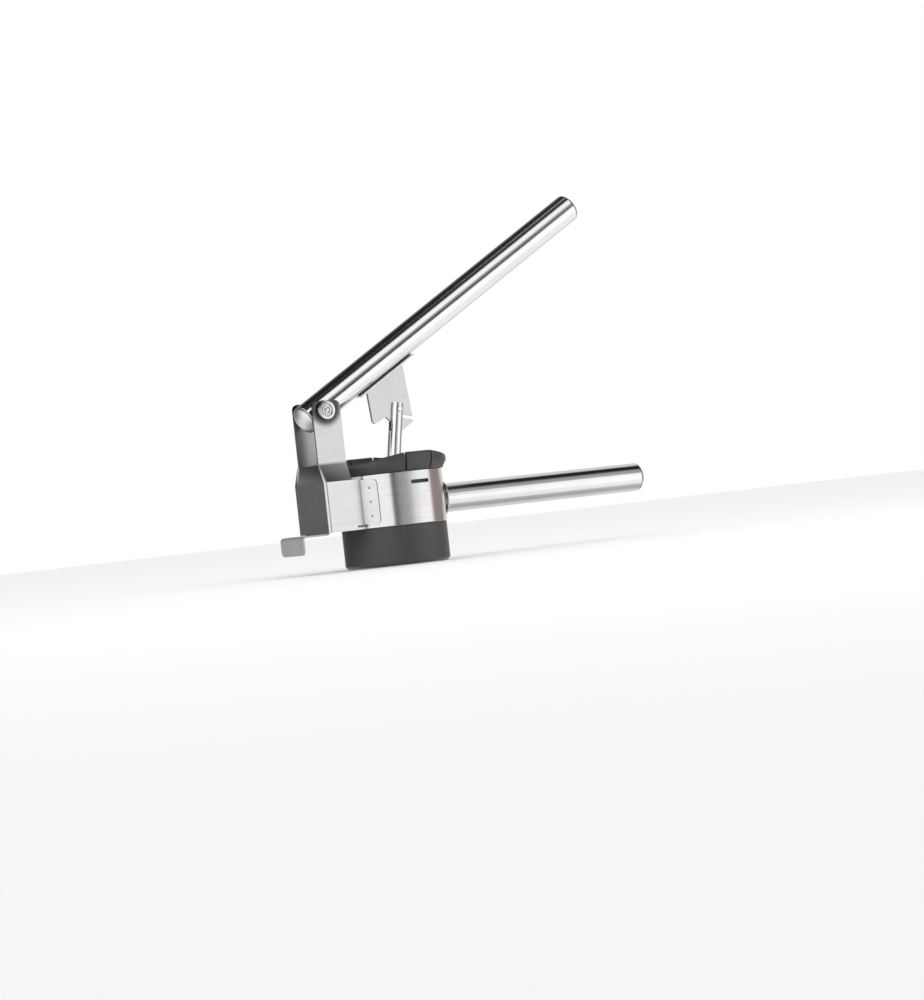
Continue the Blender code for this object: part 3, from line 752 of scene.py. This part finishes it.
# ---------------------------------------------------------------------------------------------
# Pivot: a steel pin with a ringed head, a push-on cap at its other end, a sleeve that turns on
# it, and two plastic bushes that keep the tube off the ears.
# ---------------------------------------------------------------------------------------------
pivot_steel = brushed_steel("pivot_turned_steel", (800, 30, 800), 0.66, 0.2)
pin_low, pin_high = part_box("pivot_pin")
face = pin_low.y
head_r = (pin_high.z - pin_low.z) / 2
shaft_r = 4.0 * MM
head_back = face + 3.2 * MM
pin = lathe("pivot_pin_ringed", [
    (shaft_r, pin_high.y), (shaft_r, head_back), (head_r, head_back), (head_r, face + 1.1 * MM),
    (head_r - 0.3 * MM, face + 0.5 * MM), (head_r - 0.9 * MM, face + 0.25 * MM), (5.3 * MM, face + 0.2 * MM),
    (4.9 * MM, face + 0.5 * MM), (4.7 * MM, face + 1.4 * MM), (4.2 * MM, face + 1.4 * MM),
    (4.0 * MM, face + 0.6 * MM), (3.7 * MM, face + 0.3 * MM), (2.9 * MM, face + 0.3 * MM),
    (2.6 * MM, face + 0.6 * MM), (2.5 * MM, face + 1.3 * MM), (2.0 * MM, face + 1.3 * MM),
    (1.9 * MM, face + 0.4 * MM), (1.5 * MM, face + 0.1 * MM), (0.8 * MM, face), (0, face)], 64, closed=False)
bpy.ops.object.mode_set(mode="EDIT")
bpy.ops.mesh.select_all(action="DESELECT")
bpy.ops.mesh.select_non_manifold()
bpy.ops.mesh.edge_face_add()
bpy.ops.mesh.select_all(action="SELECT")
bpy.ops.mesh.normals_make_consistent(inside=False)
bpy.ops.object.mode_set(mode="OBJECT")
settle(pin, Matrix.Translation((pivot.x, 0, pivot.z)) @ Matrix.Rotation(-math.pi / 2, 4, "X"))
activate(pin)
bpy.ops.object.shade_smooth_by_angle(angle=math.radians(35))
dress(pin, "body", "polished_steel", pivot_steel, "pivot_pin")
cap = smooth_copy("pivot_cap", "pivot_end_cap", 0.18 * MM, 2, 35)
dress(cap, "body", "polished_steel", pivot_steel, "pivot_cap")
sleeve = smooth_copy("pivot_sleeve", "pivot_turning_sleeve", 0.2 * MM)
dress(sleeve, "lever", "brushed_steel", pivot_steel, "pivot_sleeve")
for node, name in (("pivot_bush_near", "near_bush"), ("pivot_bush_far", "far_bush")):
    bush = smooth_copy(node, name, 0.25 * MM)
    dress(bush, "lever", "black_plastic", cup_plastic, node)


# ---------------------------------------------------------------------------------------------
# Bracket: a strip welded along the lever's underside and a hooked plate below it, both laser
# cut from brushed sheet. The plunger's cross pin hangs in the hook.
# ---------------------------------------------------------------------------------------------
bracket_steel = brushed_steel("bracket_brushed_steel", (260, 1500, 2400), 0.60, 0.30)
strip = smooth_copy("bracket_strip", "bracket_mounting_strip", 0.3 * MM)
# Painted light: the strip is the plate's brushed sheet with a lighter base colour, to lift the shade under the
# lever; it is also duller.
strip_steel_painted_light = brushed_steel("strip_satin_steel_painted_light", (260, 1500, 2400), 0.80, 0.42)
dress(strip, "lever", "brushed_steel", strip_steel_painted_light, "bracket_strip")
plate = smooth_copy("bracket_plate", "bracket_hook_plate", 0.3 * MM, 2, 38)
dress(plate, "lever", "brushed_steel", bracket_steel, "bracket_plate")


# ---------------------------------------------------------------------------------------------
# Plunger: a thin polished tube, slotted at the top to straddle the hooked plate, with a cross
# pin in the fork and a plug in its foot that carries the foot pin.
# ---------------------------------------------------------------------------------------------
stem_steel = polished_steel("plunger_polished_steel", (1500, 1500, 14), 0.12)
for node, name, slot in (("plunger_stem", "forked_stem", "polished_steel"),
                         ("cross_pin", "fork_cross_pin", "polished_steel"),
                         ("stem_foot", "stem_foot_plug", "brushed_steel"),
                         ("foot_pin", "stem_foot_pin", "brushed_steel")):
    part = smooth_copy(node, name, 0.15 * MM, 2, 35)
    dress(part, "plunger", slot, stem_steel, node)


# ---------------------------------------------------------------------------------------------
# Press plate: a round turned plate under a U-shaped clevis, whose long slots let the plunger's
# foot slide as the lever swings.
# ---------------------------------------------------------------------------------------------
press_steel = brushed_steel("press_plate_steel", (900, 60, 900), 0.60, 0.26)
for node, name in (("press_plate", "round_press_plate"), ("foot_clevis", "slotted_clevis")):
    part = smooth_copy(node, name, 0.25 * MM, 2, 38)
    dress(part, "press", "brushed_steel", press_steel, node)

bpy.context.view_layer.update()
